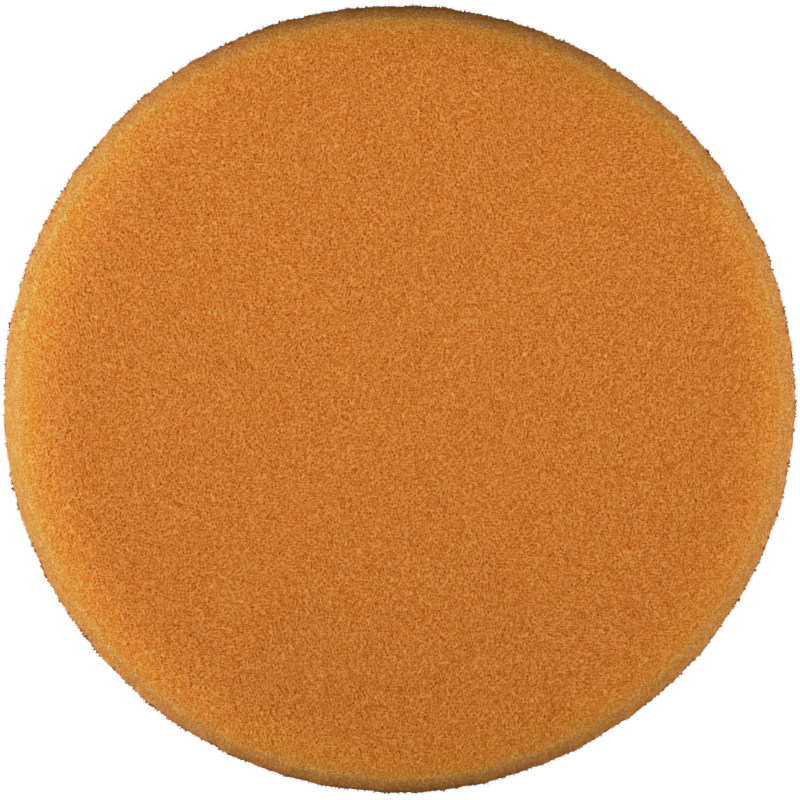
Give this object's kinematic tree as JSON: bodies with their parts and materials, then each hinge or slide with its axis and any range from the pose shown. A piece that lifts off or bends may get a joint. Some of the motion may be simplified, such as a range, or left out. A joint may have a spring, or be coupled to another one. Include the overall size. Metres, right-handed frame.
{
  "type": "polishing pad",
  "caption": "Round orange open-cell foam polishing pad with a rounded front edge and a hook-and-loop cloth backing.",
  "frame": {"origin": "centre of the loop face, which is the pad's back and the face it lies on", "axes": "+Z along the spin axis, out of the working face; the pad is round, so X and Y are any two directions across it"},
  "size_m": [0.15, 0.15, 0.03],
  "materials": {
    "orange_foam": "matte",
    "adhesive_film": "satin",
    "knitted_ground": "matte",
    "loop_yarn": "matte"
  },
  "bodies": {
    "root": {"foam_disc": "orange_foam", "bond_film": "adhesive_film", "loop_ground": "knitted_ground", "loop_pile": "loop_yarn"}
  },
  "joints": []
}
